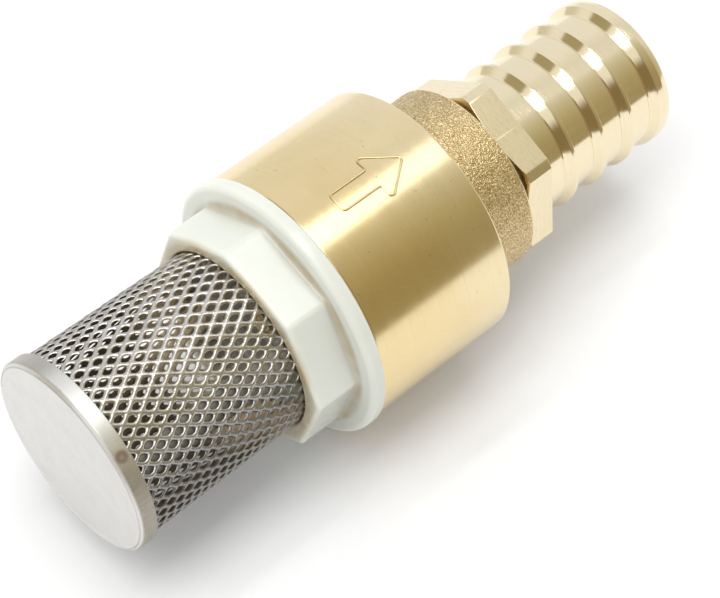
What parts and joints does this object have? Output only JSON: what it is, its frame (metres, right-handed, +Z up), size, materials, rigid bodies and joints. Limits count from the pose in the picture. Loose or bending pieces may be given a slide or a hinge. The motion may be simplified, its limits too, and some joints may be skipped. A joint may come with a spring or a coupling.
{
  "type": "foot valve",
  "caption": "Spring-loaded brass foot valve with a nylon bonnet, an expanded-metal strainer basket and a ridged hose tail.",
  "frame": {"origin": "on the valve's axis, in the middle of the hose tail's last ridge, which holds the hose", "axes": "+X along the flow, from the strainer to the hose; +Z up with the valve lying on its side"},
  "size_m": [0.1093, 0.0428, 0.0428],
  "materials": {
    "brass_body": "turned satin, sand-cast neck",
    "brass_tail": "turned bright",
    "brass_stem": "drawn bar",
    "nylon": "milky moulded nylon",
    "acetal": "moulded acetal",
    "rubber": "moulded nitrile",
    "ptfe_tape": "wound tape",
    "steel_mesh": "expanded stainless sheet",
    "steel_cap": "pressed stainless, brushed skirt",
    "steel_hardware": "bright stainless"
  },
  "bodies": {
    "valve": {"valve_body": "brass_body", "hose_tail": "brass_tail", "outlet_thread_seal": "ptfe_tape", "strainer_bonnet": "nylon", "bonnet_o_ring": "rubber", "strainer_mesh": "steel_mesh", "strainer_seam_strip": "steel_mesh", "strainer_cap": "steel_cap", "return_spring": "steel_hardware", "spring_seat_washer": "steel_hardware", "guide_spider": "acetal", "guide_bush": "acetal", "guide_snap_ring": "steel_hardware"},
    "poppet": {"poppet_disc": "acetal", "poppet_stem": "brass_stem", "poppet_seal": "rubber", "seal_clamp_washer": "steel_hardware", "stem_lock_washer": "steel_hardware", "stem_nut": "steel_hardware"}
  },
  "joints": [
    {"name": "poppet_lift", "type": "slide", "parent": "valve", "child": "poppet", "axis": [1, 0, 0], "range_m": [0, 0.005], "stiffness_N_per_m": 100, "springref_m": -0.008, "deforming": ["return_spring"]}
  ]
}
